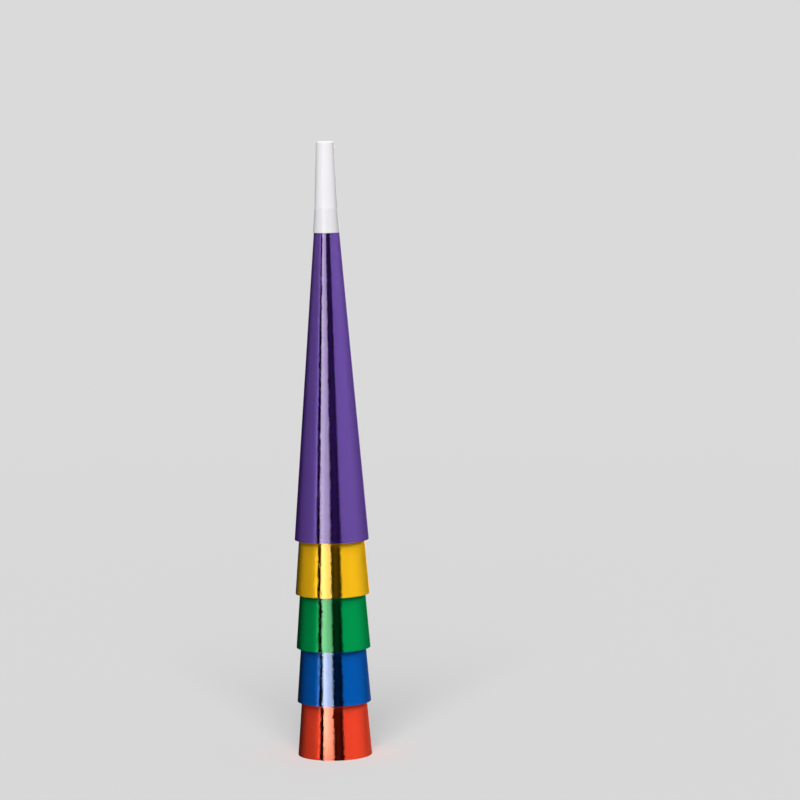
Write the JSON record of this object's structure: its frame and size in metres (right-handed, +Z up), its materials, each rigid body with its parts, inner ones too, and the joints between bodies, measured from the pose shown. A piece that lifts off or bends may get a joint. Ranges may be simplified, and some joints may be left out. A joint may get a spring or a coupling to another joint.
{
  "type": "party horn blower",
  "caption": "Nest of conical foil party horns, bell down, each with a plastic mouthpiece and a beating reed; each horn lifts off the one inside it.",
  "frame": {"origin": "centre of the lowest horn's bell rim, on the surface that the nest stands on", "axes": "+Z up along the horns' common axis, from the bells to the mouthpieces; -Y is the front, and the lapped seams are at the back"},
  "size_m": [0.0427, 0.0429, 0.3542],
  "materials": {
    "red_foil": "polished",
    "blue_foil": "polished",
    "green_foil": "polished",
    "gold_foil": "polished",
    "purple_foil": "polished",
    "white_plastic": "satin",
    "reed_block_plastic": "satin",
    "reed_film": "gloss"
  },
  "bodies": {
    "red_horn": {"red_cone": "red_foil", "red_mouthpiece": "white_plastic", "red_collar": "white_plastic", "red_reed_block": "reed_block_plastic", "red_reed_ring": "reed_block_plastic"},
    "blue_horn": {"blue_cone": "blue_foil", "blue_mouthpiece": "white_plastic", "blue_collar": "white_plastic", "blue_reed_block": "reed_block_plastic", "blue_reed_ring": "reed_block_plastic"},
    "green_horn": {"green_cone": "green_foil", "green_mouthpiece": "white_plastic", "green_collar": "white_plastic", "green_reed_block": "reed_block_plastic", "green_reed_ring": "reed_block_plastic"},
    "gold_horn": {"gold_cone": "gold_foil", "gold_mouthpiece": "white_plastic", "gold_collar": "white_plastic", "gold_reed_block": "reed_block_plastic", "gold_reed_ring": "reed_block_plastic"},
    "purple_horn": {"purple_cone": "purple_foil", "purple_mouthpiece": "white_plastic", "purple_collar": "white_plastic", "purple_reed_block": "reed_block_plastic", "purple_reed_ring": "reed_block_plastic"},
    "red_reed": {"red_reed": "reed_film"},
    "blue_reed": {"blue_reed": "reed_film"},
    "green_reed": {"green_reed": "reed_film"},
    "gold_reed": {"gold_reed": "reed_film"},
    "purple_reed": {"purple_reed": "reed_film"}
  },
  "joints": [
    {"name": "blue_lift", "type": "slide", "parent": "red_horn", "child": "blue_horn", "axis": [0, 0, 1], "range_m": [0, 0.2]},
    {"name": "green_lift", "type": "slide", "parent": "blue_horn", "child": "green_horn", "axis": [0, 0, 1], "range_m": [0, 0.2]},
    {"name": "gold_lift", "type": "slide", "parent": "green_horn", "child": "gold_horn", "axis": [0, 0, 1], "range_m": [0, 0.2]},
    {"name": "purple_lift", "type": "slide", "parent": "gold_horn", "child": "purple_horn", "axis": [0, 0, 1], "range_m": [0, 0.2]},
    {"name": "red_reed_beat", "type": "hinge", "parent": "red_horn", "child": "red_reed", "pos_m": [0, 0.0007, 0.2041], "axis": [1, 0, 0], "range_deg": [-2.5, 2.8], "stiffness_Nm_per_rad": 0.0015},
    {"name": "blue_reed_beat", "type": "hinge", "parent": "blue_horn", "child": "blue_reed", "pos_m": [-0.00025, 0.00065, 0.2355], "axis": [0.9336, 0.3584, 0], "range_deg": [-2.5, 2.8], "stiffness_Nm_per_rad": 0.0015},
    {"name": "green_reed_beat", "type": "hinge", "parent": "green_horn", "child": "green_reed", "pos_m": [0.00017, 0.00068, 0.2669], "axis": [0.9703, -0.2419, 0], "range_deg": [-2.5, 2.8], "stiffness_Nm_per_rad": 0.0015},
    {"name": "gold_reed_beat", "type": "hinge", "parent": "gold_horn", "child": "gold_reed", "pos_m": [-0.00011, 0.00069, 0.2983], "axis": [0.9877, 0.1564, 0], "range_deg": [-2.5, 2.8], "stiffness_Nm_per_rad": 0.0015},
    {"name": "purple_reed_beat", "type": "hinge", "parent": "purple_horn", "child": "purple_reed", "pos_m": [0.00007, 0.0007, 0.3297], "axis": [0.9945, -0.1045, 0], "range_deg": [-2.5, 2.8], "stiffness_Nm_per_rad": 0.0015}
  ]
}
